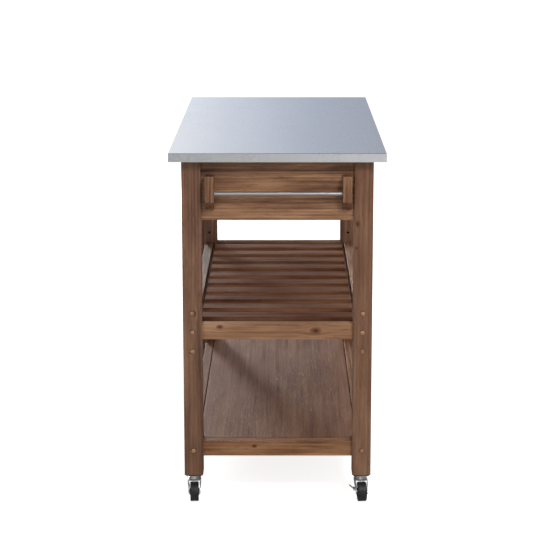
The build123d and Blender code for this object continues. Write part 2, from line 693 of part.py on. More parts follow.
def caster_axle(place):
    """A rivet through both arms, with a low domed head at each end."""
    with BuildPart() as axle:
        axle_plane = in_place(place, AXLE_MIDDLE)
        with Locations(axle_plane):
            Cylinder(AXLE_RADIUS, FORK_WIDTH)
        for face in (-1, 1):
            head = AXLE_MIDDLE.offset(face * (FORK_WIDTH + AXLE_HEAD_THICK) / 2)
            with Locations(in_place(place, head)):
                Cylinder(AXLE_HEAD_RADIUS, AXLE_HEAD_THICK)
        rims = axle.edges().group_by(Axis(axle_plane.origin, axle_plane.z_dir))
        fillet(rims[0] + rims[-1], AXLE_HEAD_ROUND)
    return axle


def brake_lever(place):
    """A flat lever with a rolled barrel that turns on the fork's pivot pin."""
    tilt = math.radians(BRAKE_LEVER_ANGLE)
    outward = (-math.cos(tilt), 0, math.sin(tilt))
    with BuildPart() as lever:
        pivot = in_place(place, BRAKE_PIVOT)
        with Locations(pivot):
            Cylinder(BRAKE_BARREL_RADIUS, BRAKE_BARREL_LENGTH)
        blade = Plane(origin=BRAKE_PIVOT.origin, x_dir=(0, 1, 0), z_dir=outward)
        with BuildSketch(in_place(place, blade)):
            Rectangle(BRAKE_BARREL_LENGTH, BRAKE_LEVER_THICK)
        extrude(amount=BRAKE_LEVER_LENGTH)
        drill([pivot], BRAKE_PIN_RADIUS + RUNNING_CLEARANCE, 2 * BRAKE_EAR_GAP)
    return lever


caster_places = {
    f"{end_name}_{side_name}": (side * LEG_X, end * LEG_Y)
    for end_name, end in ENDS.items()
    for side_name, side in SIDES.items()
}

with BuildPart() as caster_stems:
    for x, y in caster_places.values():
        for bottom, top, radius in (
            (KINGPIN_TOP - KINGPIN_THICK, KINGPIN_TOP, KINGPIN_RADIUS),
            (KINGPIN_TOP, STEM_TOP, STEM_RADIUS),
            (COLLAR_BOTTOM, LEG_BOTTOM, COLLAR_RADIUS),
        ):
            with Locations(Plane(origin=(x, y, bottom))):
                Cylinder(radius, top - bottom, align=(Align.CENTER, Align.CENTER, Align.MIN))
save(caster_stems, "caster_stems")

for caster_name, (x, y) in caster_places.items():
    place = Location((x, y, 0), (0, 0, CASTER_TURN[caster_name]))
    braked = caster_name in BRAKED_CASTERS
    save(caster_fork(place, braked), f"caster_fork_{caster_name}")
    save(caster_wheel(place), f"caster_wheel_{caster_name}")
    save(caster_axle(place), f"caster_axle_{caster_name}")
    if braked:
        save(brake_lever(place), f"brake_lever_{caster_name}")
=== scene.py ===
"""Kitchen island cart: wood, steel and rubber, fine shapes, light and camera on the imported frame."""
import json
import math
import random

import bmesh
import bpy
from mathutils import Matrix, Vector


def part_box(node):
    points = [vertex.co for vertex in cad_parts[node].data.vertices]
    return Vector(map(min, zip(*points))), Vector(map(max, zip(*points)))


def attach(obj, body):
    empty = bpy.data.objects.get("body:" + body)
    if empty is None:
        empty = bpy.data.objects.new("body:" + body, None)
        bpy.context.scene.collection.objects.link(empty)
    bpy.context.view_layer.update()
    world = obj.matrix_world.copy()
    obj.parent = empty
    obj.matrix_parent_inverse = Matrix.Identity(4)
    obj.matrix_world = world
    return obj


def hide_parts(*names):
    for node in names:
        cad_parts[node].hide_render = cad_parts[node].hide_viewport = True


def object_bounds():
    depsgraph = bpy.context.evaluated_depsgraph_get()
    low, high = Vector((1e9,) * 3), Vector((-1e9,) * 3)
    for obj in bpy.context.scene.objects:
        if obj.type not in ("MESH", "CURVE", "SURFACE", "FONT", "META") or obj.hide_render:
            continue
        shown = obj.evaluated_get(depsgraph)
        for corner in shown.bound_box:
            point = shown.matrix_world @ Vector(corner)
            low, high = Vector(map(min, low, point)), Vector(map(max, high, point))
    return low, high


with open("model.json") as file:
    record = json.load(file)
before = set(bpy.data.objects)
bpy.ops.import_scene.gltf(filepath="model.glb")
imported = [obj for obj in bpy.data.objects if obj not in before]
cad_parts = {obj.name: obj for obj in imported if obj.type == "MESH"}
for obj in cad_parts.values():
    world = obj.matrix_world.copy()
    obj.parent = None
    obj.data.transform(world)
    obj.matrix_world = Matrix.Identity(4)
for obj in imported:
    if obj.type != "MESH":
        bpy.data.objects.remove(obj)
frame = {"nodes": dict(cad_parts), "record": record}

cad_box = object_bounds()
random.seed(20)
nodes = frame["nodes"]
node_names = sorted(nodes)


# ---------------------------------------------------------------- shader helpers
class Shader:
    """One node material, built a node at a time."""

    def __init__(self, name):
        self.material = bpy.data.materials.new(name)
        self.material.use_nodes = True
        self.tree = self.material.node_tree
        self.tree.nodes.clear()

    def put(self, kind, inputs=None, **settings):
        node = self.tree.nodes.new("ShaderNode" + kind)
        for key, value in settings.items():
            setattr(node, key, value)
        for key, value in (inputs or {}).items():
            socket = node.inputs[key]
            if isinstance(value, bpy.types.NodeSocket):
                self.tree.links.new(value, socket)
            else:
                socket.default_value = value
        return node

    def math(self, operation, a, b=0.0, clamp=False):
        return self.put("Math", {0: a, 1: b}, operation=operation, use_clamp=clamp).outputs[0]

    def vector_math(self, operation, a, b=(0, 0, 0)):
        return self.put("VectorMath", {0: a, 1: b}, operation=operation).outputs[0]

    def length(self, vector):
        return self.put("VectorMath", {0: vector}, operation="LENGTH").outputs["Value"]

    def noise(self, vector, scale, detail=2.0, roughness=0.5):
        inputs = {"Vector": vector, "Scale": scale, "Detail": detail, "Roughness": roughness}
        return self.put("TexNoise", inputs).outputs["Fac"]

    def stretch(self, vector, scales, offset=(0, 0, 0)):
        """Scale a vector's three parts, after an offset."""
        moved = self.vector_math("ADD", vector, offset)
        return self.vector_math("MULTIPLY", moved, scales)

    def remap(self, value, low, high, to_low=0.0, to_high=1.0):
        inputs = {"Value": value, 1: low, 2: high, 3: to_low, 4: to_high}
        return self.put("MapRange", inputs, clamp=True).outputs[0]

    def mix(self, factor, a, b):
        node = self.put("Mix", data_type="RGBA")
        for socket, value in zip((node.inputs[0], node.inputs[6], node.inputs[7]), (factor, a, b)):
            if isinstance(value, bpy.types.NodeSocket):
                self.tree.links.new(value, socket)
            elif isinstance(value, tuple):
                socket.default_value = (*value, 1.0)
            else:
                socket.default_value = value
        return node.outputs[2]

    def ramp(self, factor, stops):
        node = self.put("ValToRGB", {"Fac": factor})
        elements = node.color_ramp.elements
        while len(elements) < len(stops):
            elements.new(0.5)
        for element, (place, colour) in zip(elements, stops):
            element.position = place
            element.color = (*colour, 1.0)
        return node.outputs["Color"]

    def bump(self, height, distance, strength=1.0):
        inputs = {"Height": height, "Distance": distance, "Strength": strength}
        return self.put("Bump", inputs).outputs["Normal"]

    def finish(self, **inputs):
        """Close the material with one principled shader."""
        named = {key.replace("_", " "): value for key, value in inputs.items()}
        for key in ("Base Color", "Emission Color"):
            if isinstance(named.get(key), tuple):
                named[key] = (*named[key], 1.0)
        shader = self.put("BsdfPrincipled", named)
        self.put("OutputMaterial", {"Surface": shader.outputs["BSDF"]})
        return self.material


def rgb(red, green, blue):
    """A colour given as it looks on a screen, 0 to 255, turned into linear light."""

    def linear(value):
        value /= 255
        return value / 12.92 if value <= 0.04045 else ((value + 0.055) / 1.055) ** 2.4

    return (linear(red), linear(green), linear(blue))


# ---------------------------------------------------------------- wood
GRAIN_ORDER = {"X": (0, 1, 2), "Y": (1, 0, 2), "Z": (2, 0, 1)}
# Each palette runs from the darkest streaks to the palest rubbed edges.
STAINED = (rgb(44, 24, 14), rgb(100, 67, 46), rgb(138, 99, 70), rgb(176, 138, 104))
ROSY = (rgb(40, 23, 15), rgb(90, 60, 43), rgb(116, 82, 61), rgb(150, 115, 90))
RUSSET = (rgb(44, 23, 14), rgb(103, 67, 47), rgb(141, 97, 71), rgb(172, 130, 102))
PALE = (rgb(150, 112, 74), rgb(188, 150, 106), rgb(205, 170, 126), rgb(222, 192, 152))
RAW = (rgb(120, 84, 56), rgb(158, 120, 84), rgb(176, 140, 102), rgb(196, 162, 124))


# How fast each part of the figure changes along, across and up the grain, per metre.
PITH_WANDER = (1.3, 4.0, 4.0)
RING_WANDER = (5.0, 45.0, 45.0)
FIBRES = (9.0, 900.0, 900.0)
STREAKS = (3.2, 150.0, 150.0)
PORES = (42.0, 1300.0, 1300.0)
CLOUDS = (4.5, 22.0, 22.0)
DARK_BANDS = (2.0, 48.0, 48.0)
HUES = (1.3, 9.0, 9.0)
RINGS_PER_METRE = 330.0
KNOT_LENGTHENED = 0.62
USUAL_GLOSS = 0.34


def bend_round_knots(sh, u, v, w, knots):
    """Push the grain aside at each knot; also give the fields of the knots' cores and rims."""
    core = rim = None
    for at, across, up, radius in knots:
        du = sh.math("SUBTRACT", u, at)
        dv = sh.math("SUBTRACT", v, across)
        dw = sh.math("SUBTRACT", w, up)
        offset = sh.put("CombineXYZ", {0: sh.math("MULTIPLY", du, KNOT_LENGTHENED), 1: dv, 2: dw})
        distance = sh.length(offset.outputs[0])
        push = sh.math("MULTIPLY", sh.remap(distance, radius * 3.4, radius * 0.5), 0.75)
        v = sh.math("SUBTRACT", v, sh.math("MULTIPLY", dv, push))
        w = sh.math("SUBTRACT", w, sh.math("MULTIPLY", dw, push))
        this_core = sh.remap(distance, radius * 0.62, radius * 0.30)
        this_rim = sh.remap(distance, radius * 1.35, radius * 0.9)
        core = this_core if core is None else sh.math("MAXIMUM", core, this_core)
        rim = this_rim if rim is None else sh.math("MAXIMUM", rim, this_rim)
    return v, w, core, rim


def growth_rings(sh, grain, v, w, seed):
    """Rings by the distance from a pith line that wanders along beside the board."""
    wander = sh.noise(sh.stretch(grain, PITH_WANDER, seed), 1.0, 1.0, 0.4)
    pith_v = random.choice((-1, 1)) * random.uniform(0.02, 0.07)
    pith_w = random.choice((-1, 1)) * random.uniform(0.05, 0.12)
    from_v = sh.math("SUBTRACT", v, pith_v)
    from_w = sh.math("SUBTRACT", w, pith_w)
    from_v = sh.math("ADD", from_v, sh.math("MULTIPLY", sh.math("SUBTRACT", wander, 0.5), 0.04))
    reach = sh.length(sh.put("CombineXYZ", {0: from_v, 1: from_w}).outputs[0])
    fine_wander = sh.noise(sh.stretch(grain, RING_WANDER, seed), 1.0, 2.0, 0.5)
    reach = sh.math("ADD", reach, sh.math("MULTIPLY", fine_wander, 0.003))
    spread = sh.math("MULTIPLY", reach, RINGS_PER_METRE)
    field = sh.put("CombineXYZ", {0: spread, 1: seed[0]}).outputs[0]
    return sh.remap(sh.noise(field, 1.0, 2.5, 0.62), 0.28, 0.62)


def rubbed_edges(sh, place, parts, half):
    """1 where two faces of the board meet, fading over a ragged 0.3 to 3 mm."""
    gaps = [sh.math("SUBTRACT", size, sh.math("ABSOLUTE", part)) for part, size in zip(parts, half)]
    lower = sh.math("MINIMUM", gaps[0], gaps[1])
    upper = sh.math("MAXIMUM", gaps[0], gaps[1])
    second_smallest = sh.math("MAXIMUM", lower, sh.math("MINIMUM", upper, gaps[2]))
    ragged = sh.noise(place, 160.0, 3.0, 0.6)
    edge_width = sh.remap(ragged, 0.38, 0.75, 0.0003, 0.0030)
    return sh.math("SUBTRACT", 1.0, sh.math("DIVIDE", second_smallest, edge_width), clamp=True)


def wood(
    name, along, corners, tones=STAINED, tone_shift=0.0, knots=(),
    contrast=1.0, wear=1.0, gloss=USUAL_GLOSS,
):
    """Wire-brushed timber for one board.

    along is the axis of the grain, corners the board's box. Growth rings are cylinders about a
    pith beside the board, so faces and end grain agree. A knot is (along, across, up, radius)
    in metres, and the grain flows round it. contrast scales the streaks and the relief.
    """
    sh = Shader(name)
    low, high = Vector(corners[0]), Vector(corners[1])
    place = sh.put("TexCoord").outputs["Object"]
    local = sh.vector_math("SUBTRACT", place, tuple((low + high) / 2))
    parts = sh.put("SeparateXYZ", {0: local}).outputs
    u, v, w = (parts[axis] for axis in GRAIN_ORDER[along])
    v, w, core, rim = bend_round_knots(sh, u, v, w, knots)
    seed = tuple(random.uniform(-40, 40) for _ in range(3))
    grain = sh.put("CombineXYZ", {0: u, 1: v, 2: w}).outputs[0]
    rings = growth_rings(sh, grain, v, w, seed)

    # fibres, pores, cloudy stain and the long dark streaks where the brush dug in
    fibres = sh.noise(sh.stretch(grain, FIBRES, seed), 1.0, 3.0, 0.6)
    streaks = sh.noise(sh.stretch(grain, STREAKS, seed), 1.0, 3.0, 0.6)
    pores = sh.remap(sh.noise(sh.stretch(grain, PORES, seed), 1.0, 1.0, 0.5), 0.64, 0.76)
    clouds = sh.noise(sh.stretch(grain, CLOUDS, seed), 1.0, 3.0, 0.55)
    dark_bands = sh.noise(sh.stretch(grain, DARK_BANDS, seed[::-1]), 1.0, 2.0, 0.5)
    dark_bands = sh.remap(dark_bands, 0.56, 0.74)

    shade = sh.math("MULTIPLY", sh.math("SUBTRACT", rings, 0.5), 0.22 * contrast)
    for field, weight in ((fibres, 0.42), (streaks, 0.80), (clouds, 1.05)):
        swing = sh.math("MULTIPLY", sh.math("SUBTRACT", field, 0.5), weight * contrast)
        shade = sh.math("ADD", shade, swing)
    shade = sh.math("SUBTRACT", shade, sh.math("MULTIPLY", dark_bands, 0.24 * contrast))
    shade = sh.math("ADD", shade, tone_shift + 0.58)
    dark, mid, light, pale = tones
    colour = sh.ramp(shade, ((0.10, dark), (0.40, mid), (0.62, light), (0.98, pale)))
    colour = sh.mix(sh.math("MULTIPLY", pores, 0.6), colour, dark)
    hue = sh.noise(sh.stretch(grain, HUES, seed[::-1]), 1.0, 1.0, 0.5)
    warm = tuple(min(1.0, part * gain) for part, gain in zip(mid, (1.16, 0.95, 0.78)))
    colour = sh.mix(sh.remap(hue, 0.45, 0.75, 0.0, 0.4), colour, warm)
    if core is not None:
        rust = tuple(part * gain for part, gain in zip(mid, (0.95, 0.62, 0.48)))
        colour = sh.mix(sh.math("MULTIPLY", rim, 0.8), colour, rust)
        colour = sh.mix(sh.math("MULTIPLY", core, 0.85), colour, tuple(part * 0.6 for part in dark))
    edge = rubbed_edges(sh, place, parts, (high - low) / 2)
    colour = sh.mix(sh.math("MULTIPLY", edge, 0.5 * wear), colour, pale)

    height = sh.math("ADD", sh.math("MULTIPLY", fibres, 0.5), sh.math("MULTIPLY", streaks, 0.7))
    height = sh.math("SUBTRACT", height, sh.math("MULTIPLY", pores, 0.8))
    normal = sh.bump(height, 0.0007 * contrast, 0.8)
    rough = sh.remap(fibres, 0.3, 0.7, 0.60, 0.44)
    return sh.finish(Base_Color=colour, Roughness=rough, Normal=normal, Specular_IOR_Level=gloss)


# ---------------------------------------------------------------- metal and rubber
def brushed_top():
    """Stainless sheet, finely brushed lengthways, with faint wipe marks and a painted dark reflection
    along its folds.
    """
    sh = Shader("stainless_top")
    place = sh.put("TexCoord").outputs["Object"]
    lines = sh.noise(sh.stretch(place, (1400.0, 4.0, 900.0)), 1.0, 2.0, 0.6)
    bands = sh.noise(sh.stretch(place, (14.0, 1.2, 8.0)), 1.0, 2.0, 0.5)
    marks = sh.noise(place, 7.0, 4.0, 0.6)
    colour = sh.mix(bands, rgb(203, 205, 208), rgb(209, 211, 214))
    upward = sh.put("SeparateXYZ", {0: sh.put("NewGeometry").outputs["Normal"]}).outputs["Z"]
    # painted dark reflection: the steel's colour is darkened where its normal tilts between level and
    # upright, along the folds
    painted_fold_reflection = sh.math("MULTIPLY", sh.remap(upward, 0.04, 0.35), sh.remap(upward, 0.99, 0.80))
    colour = sh.mix(sh.math("MULTIPLY", painted_fold_reflection, 0.75), colour, rgb(92, 96, 106))
    brushed = sh.remap(lines, 0.25, 0.75, 0.255, 0.27)
    wiped = sh.remap(marks, 0.4, 0.7, 0.0, 0.02)
    return sh.finish(
        Base_Color=colour, Metallic=1.0, Roughness=sh.math("ADD", brushed, wiped),
        Normal=sh.bump(lines, 0.00001, 0.02),
    )


def plain_metal(name, colour, dull, rough, blotch=60.0, streak=(1, 1, 1)):
    """Metal whose roughness and tone vary a little over its surface."""
    sh = Shader(name)
    place = sh.put("TexCoord").outputs["Object"]
    field = sh.noise(sh.stretch(place, streak), blotch, 3.0, 0.6)
    fine = sh.noise(sh.stretch(place, streak), blotch * 9, 2.0, 0.5)
    tint = sh.mix(sh.remap(field, 0.35, 0.7), colour, dull)
    roughness = sh.remap(field, 0.3, 0.7, rough, rough + 0.14)
    normal = sh.bump(fine, 0.00006, 0.6)
    return sh.finish(Base_Color=tint, Metallic=1.0, Roughness=roughness, Normal=normal)


def rubber(name, colour, grey):
    """Moulded black wheel rubber with dust in its pores."""
    sh = Shader(name)
    place = sh.put("TexCoord").outputs["Object"]
    dust = sh.noise(place, 240.0, 4.0, 0.65)
    pits = sh.noise(place, 1500.0, 2.0, 0.5)
    tint = sh.mix(sh.remap(dust, 0.45, 0.8), colour, grey)
    return sh.finish(
        Base_Color=tint, Roughness=sh.remap(dust, 0.3, 0.7, 0.42, 0.6),
        Normal=sh.bump(pits, 0.0001, 0.5), Specular_IOR_Level=0.4,
    )


def fibre_board():
    """Raw board edge: pressed brown fibres."""
    sh = Shader("core_board")
    place = sh.put("TexCoord").outputs["Object"]
    fleck = sh.noise(sh.stretch(place, (1.0, 1.0, 3.0)), 900.0, 3.0, 0.7)
    cloud = sh.noise(place, 30.0, 2.0, 0.5)
    colour = sh.mix(fleck, rgb(120, 92, 64), rgb(172, 140, 104))
    colour = sh.mix(sh.math("MULTIPLY", cloud, 0.4), colour, rgb(140, 108, 76))
    return sh.finish(Base_Color=colour, Roughness=0.85, Normal=sh.bump(fleck, 0.0002, 0.5))


# ---------------------------------------------------------------- which finish goes where
def longest_axis(name):
    low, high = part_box(name)
    size = [far - near for near, far in zip(low, high)]
    return "XYZ"[size.index(max(size))]


# Knots on the boards that show them: along, across and up from the board's middle, radius.
KNOTS = {
    "mid_rail_bar_end": ((0.097, -0.012, 0.002, 0.008), (-0.147, -0.012, 0.012, 0.005)),
    "leg_bar_right": ((0.252, -0.015, -0.024, 0.005), (0.19, -0.017, -0.024, 0.003)),
    "leg_bar_left": ((0.02, 0.006, -0.024, 0.004),),
    "low_rail_bar_end": ((-0.06, -0.012, 0.006, 0.004),),
}
TONES = {
    "mid_rail_bar_end": 0.07, "low_rail_bar_end": -0.02, "apron_bar_end": 0.0,
    "leg_bar_left": -0.02, "leg_bar_right": 0.0, "low_panel": 0.11,
    "towel_post_left": -0.14, "towel_post_right": -0.10,
}
# By the first word of a board's name.
PALETTES = {"leg": ROSY, "slat": RUSSET}
CONTRASTS = {"leg": 0.85, "low": 0.8, "slat": 0.9}
GLOSSES = {"slat": 0.04, "low": 0.10}
# Painted light: the slats' tone is raised to stand in for the key lamp's light, which is kept off the
# shelves.
SLAT_PAINTED_LIGHT = 0.05
rod_steel = plain_metal("rod_steel", rgb(172, 172, 175), rgb(150, 151, 155), 0.30, 30, (1, 30, 30))
bronze = plain_metal("bronze_hardware", rgb(196, 158, 130), rgb(140, 106, 84), 0.22)
zinc = plain_metal("zinc_hardware", rgb(208, 210, 212), rgb(174, 177, 180), 0.42, 90)
black_wheel = rubber("black_wheel", rgb(20, 20, 21), rgb(52, 51, 50))
FINISHES = {
    "top_sheet": brushed_top(), "top_core": fibre_board(), "towel_rod": rod_steel,
    "connector_bolts": bronze, "hole_caps": bronze, "barrel_nuts": zinc, "wood_screws": zinc,
}


def finish_for(name):
    """The material of one CAD node; each board gets timber of its own."""
    if name in FINISHES:
        return FINISHES[name]
    if name.startswith("caster_wheel"):
        return black_wheel
    if name.startswith(("caster_", "brake_")):
        return zinc
    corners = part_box(name)
    if name == "corner_blocks":
        return wood("wood_" + name, "Z", corners, RAW)
    if name == "dowels":
        return wood("wood_" + name, "X", corners, RAW)
    if name.startswith("drawer") and (name.endswith("_box") or name == "drawer_runners"):
        return wood("wood_" + name, "X", corners, PALE, contrast=0.4, wear=0.3)
    tone = TONES.get(name, random.uniform(-0.05, 0.05))
    # painted light: slats are made lighter in place of the key lamp that is kept off them
    if name.startswith("slat"):
        tone += SLAT_PAINTED_LIGHT
    family = name.split("_")[0]
    return wood(
        "wood_" + name,
        "Z" if name.startswith("towel_post") else longest_axis(name),
        corners,
        RUSSET if name == "low_panel" else PALETTES.get(family, STAINED),
        tone,
        KNOTS.get(name, ()),
        CONTRASTS.get(family, 1.0),
        gloss=GLOSSES.get(family, USUAL_GLOSS),
    )


for name in node_names:
    mesh = nodes[name].data
    finish = finish_for(name)
    if not mesh.materials:
        mesh.materials.append(finish)
    for index in range(len(mesh.materials)):
        mesh.materials[index] = finish


# ---------------------------------------------------------------- fine pieces
MM = 0.001
SHARP_ANGLE = math.radians(35)
BEVEL_SEGMENTS = 3


def add_revolved(shape, outline, steps, about="Z"):
    """Turn a closed outline of (radius, height) points, in mm, about an axis through the origin."""
    rings = []
    for step in range(steps):
        turn = 2 * math.pi * step / steps
        ring = []
        for radius, height in outline:
            spot = Vector((radius * math.cos(turn), radius * math.sin(turn), height)) * MM
            if about == "X":
                spot = Vector((spot.z, spot.x, spot.y))
            ring.append(shape.verts.new(spot))
        rings.append(ring)
    count = len(outline)
    for ring, following in zip(rings, rings[1:] + rings[:1]):
        for near in range(count):
            far = (near + 1) % count
            shape.faces.new((ring[near], following[near], following[far], ring[far]))


def add_block(shape, low, high, turn=None):
    """A box between two corners in mm, turned by a matrix about the origin."""
    made = bmesh.ops.create_cube(shape, size=1.0)["verts"]
    low, high = Vector(low) * MM, Vector(high) * MM
    bmesh.ops.scale(shape, vec=high - low, verts=made)
    bmesh.ops.translate(shape, vec=(low + high) / 2, verts=made)
    if turn is not None:
        bmesh.ops.transform(shape, matrix=turn, verts=made)


def add_prism(shape, outline, half):
    """A bar along X with the given (y, z) outline, in mm, reaching half to each side."""
    ends = [[shape.verts.new(Vector((x, y, z)) * MM) for y, z in outline] for x in (-half, half)]
    shape.faces.new(ends[0])
    shape.faces.new(reversed(ends[1]))
    for spot in range(len(outline)):
        after = (spot + 1) % len(outline)
        shape.faces.new((ends[0][after], ends[0][spot], ends[1][spot], ends[1][after]))


def add_rod(shape, middle, radius, length):
    """A round bar along Y, in mm."""
    made = bmesh.ops.create_cone(
        shape, cap_ends=True, segments=20, radius1=radius * MM, radius2=radius * MM, depth=length * MM
    )["verts"]
    bmesh.ops.rotate(shape, cent=(0, 0, 0), matrix=Matrix.Rotation(math.pi / 2, 3, "X"), verts=made)
    bmesh.ops.translate(shape, vec=Vector(middle) * MM, verts=made)


def soften(piece, width):
    """Round an object's hard edges by a width in mm, so that they catch the light."""
    bevel = piece.modifiers.new("soft_edges", "BEVEL")
    bevel.width = width * MM
    bevel.segments = BEVEL_SEGMENTS
    bevel.limit_method = "ANGLE"
    bevel.angle_limit = SHARP_ANGLE
    bevel.harden_normals = True


def make_piece(name, shape, node, body, material, place, bevel=0.0):
    """Close a bmesh into the object that stands for one CAD node."""
    bmesh.ops.recalc_face_normals(shape, faces=shape.faces)
    for face in shape.faces:
        face.smooth = True
    mesh = bpy.data.meshes.new(name)
    shape.to_mesh(mesh)
    shape.free()
    mesh.set_sharp_from_angle(angle=SHARP_ANGLE)
    mesh.materials.append(material)
    piece = bpy.data.objects.new(name, mesh)
    bpy.context.scene.collection.objects.link(piece)
    piece.matrix_world = place
    if bevel:
        soften(piece, bevel)
    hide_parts(node)
    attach(piece, body)


def turned_shape(half, steps):
    """A solid turned about X from one half of its outline and the mirror of that half."""
    outline = list(half) + [(radius, -height) for radius, height in reversed(half)]
    shape = bmesh.new()
    add_revolved(shape, outline, steps, about="X")
    return shape


# Outlines as (radius, distance from the middle) in mm: the wheel's runs from its bore over the hub,
# the dish and the rim to the crowned tread, the axle's over a low domed head.
WHEEL_HALF = (
    (3.05, 12.8), (8.4, 12.8), (9.4, 12.1), (10.0, 9.2), (10.8, 7.6), (12.2, 7.2),
    (16.6, 7.2), (17.8, 7.9), (18.4, 10.2), (19.0, 10.7), (21.4, 10.8), (22.2, 11.0),
    (23.6, 10.9), (24.5, 10.4), (24.9, 9.5), (25.0, 8.3), (25.0, 1.6), (24.7, 1.2),
)
AXLE_HALF = (
    (0.05, 16.1), (1.6, 16.0), (2.9, 15.7), (3.7, 15.2), (3.9, 14.9), (3.0, 14.9), (3.0, 8.0),
)
RIB_COUNT = 6
RIB_LOW = (6.0, -0.9, 9.0)
RIB_HIGH = (9.2, 0.9, 18.6)


def wheel_shape():
    """Moulded wheel along X, with ribs across the dish on both sides."""
    shape = turned_shape(WHEEL_HALF, 72)
    for side in (-1, 1):
        near, far = sorted((side * RIB_LOW[0], side * RIB_HIGH[0]))
        for rib in range(RIB_COUNT):
            turn = Matrix.Rotation(2 * math.pi * rib / RIB_COUNT, 4, "X")
            add_block(shape, (near, *RIB_LOW[1:]), (far, *RIB_HIGH[1:]), turn)
    return shape


# The fork, in mm, in a frame on the floor under the stem: X along the axle, the wheel towards -Y.
TRAIL = 22.0
AXLE_Z = 25.0
BOSS_RADIUS = 8.0
SHEET = 1.8
ARM_HALF_WIDTH = 13.3
ARM_TOP = 48.0
ARM_LEVELS = (17.4, 18.2, 19.6, 21.5, 25, 28, 30, 32, 34, 36, 38, 40, 43, 46, 48.5)
FORK_HALF = 16.7
FORK_FOOT_HALF = 14.2
BEND = 3.2
BEND_STEPS = 6
CROWN_MIDDLE = 53.1
CROWN_RADIUS = 19.0
CROWN_STOPS = (11, 8, 5, 2.5)
STEPS_ACROSS = 10
FLANGE_STEPS = 3
ARM_FLANGE = 4.0
CROWN_FLANGE = 1.4
TREAD_CLEAR = 12.2
RACE = (
    (4.05, 54.1), (13.9, 54.1), (14.8, 54.7), (15.0, 55.6), (14.6, 56.5), (13.4, 56.9),
    (12.7, 57.3), (12.5, 58.1), (12.1, 58.9), (4.05, 58.9),
)
SKIRT = ((12.9, 51.6), (6.4, 43.0), (5.2, 43.9), (11.4, 52.4))
EAR_OFFSET = 7.75
EAR_THICK = 1.5


def ease(value, low, high):
    """0 below low, 1 above high, and a smooth rise between them."""
    part = min(1.0, max(0.0, (value - low) / (high - low)))
    return part * part * (3 - 2 * part)


def fork_path():
    """Points (x, z) down the middle of the fork's bent strip, arm to arm."""
    points = []
    for z in ARM_LEVELS:
        points.append((FORK_FOOT_HALF + (FORK_HALF - FORK_FOOT_HALF) * ease(z, 26, 44), z))
    for step in range(BEND_STEPS + 1):
        turn = math.pi / 2 * step / BEND_STEPS
        x = FORK_HALF - BEND + BEND * math.cos(turn)
        z = CROWN_MIDDLE - BEND + BEND * math.sin(turn)
        points.append((x, z))
    points += [(x, CROWN_MIDDLE) for x in CROWN_STOPS]
    return points + [(0, CROWN_MIDDLE)] + [(-x, z) for x, z in reversed(points)]


def fork_edges(x, z):
    """How far the strip reaches back and forward at a point of its path: boss, arm or crown."""
    if z < AXLE_Z:
        reach = math.sqrt(BOSS_RADIUS ** 2 - (z - AXLE_Z) ** 2)
        return -TRAIL - reach, -TRAIL + reach
    if z < ARM_TOP:
        rise = (z - AXLE_Z) / (ARM_TOP - AXLE_Z)
        foot_back = -TRAIL - BOSS_RADIUS
        foot_front = -TRAIL + BOSS_RADIUS
        back = foot_back + rise * (-ARM_HALF_WIDTH - foot_back)
        return back, foot_front + rise * (ARM_HALF_WIDTH - foot_front)
    bulge = max(ARM_HALF_WIDTH, math.sqrt(CROWN_RADIUS ** 2 - x * x))
    return -bulge, bulge


def fork_flange(x, z):
    """How far the strip's rear edge is turned inward: more on the arms than on the crown."""
    room = min(ARM_FLANGE, abs(x) - TREAD_CLEAR) if z < ARM_TOP else ARM_FLANGE
    return ease(z, 32, 37) * (room - (ARM_FLANGE - CROWN_FLANGE) * ease(z, 46, 52))


def add_strip(shape):
    """The fork's bent strip, with an inner and an outer skin."""
    path = fork_path()
    sides = []
    for spot, (x, z) in enumerate(path):
        before = path[max(spot - 1, 0)]
        after = path[min(spot + 1, len(path) - 1)]
        run = Vector((after[0] - before[0], after[1] - before[1])).normalized()
        back, front = fork_edges(x, z)
        flange = fork_flange(x, z)
        pair = []
        for skin in (-SHEET / 2, SHEET / 2):
            row = []
            for step in range(STEPS_ACROSS + 1):
                y = back + (front - back) * step / STEPS_ACROSS
                inward = skin + flange * max(0.0, 1 - step / FLANGE_STEPS) ** 1.5
                row.append(shape.verts.new(Vector((x - run.y * inward, y, z + run.x * inward)) * MM))
            pair.append(row)
        sides.append(pair)
    for (inner, outer), (next_inner, next_outer) in zip(sides, sides[1:]):
        for step in range(STEPS_ACROSS):
            shape.faces.new((inner[step], inner[step + 1], next_inner[step + 1], next_inner[step]))
            shape.faces.new((outer[step], next_outer[step], next_outer[step + 1], outer[step + 1]))
        for step in (0, STEPS_ACROSS):
            shape.faces.new((inner[step], next_inner[step], next_outer[step], outer[step]))
    for inner, outer in (sides[0], sides[-1]):
        for step in range(STEPS_ACROSS):
            shape.faces.new((inner[step], outer[step], outer[step + 1], inner[step + 1]))


def add_brake_ears(shape):
    """Two ears with their web and the pin that the brake lever turns on."""
    for side in (-1, 1):
        y = -TRAIL + side * EAR_OFFSET
        add_block(shape, (-23.0, y - EAR_THICK / 2, 30.6), (-15.6, y + EAR_THICK / 2, 35.4))
    add_block(shape, (-16.6, -30.5, 29.4), (-15.0, -13.5, 35.4))
    add_rod(shape, (-20.6, -TRAIL, 33), 1.2, 17.2)


def fork_shape(braked):
    """Pressed steel fork: bent strip, ball race, a skirt under the crown and, if braked, ears."""
    shape = bmesh.new()
    add_strip(shape)
    add_revolved(shape, RACE, 56)
    add_prism(shape, SKIRT, FORK_HALF - 1.2)
    if braked:
        add_brake_ears(shape)
    return shape


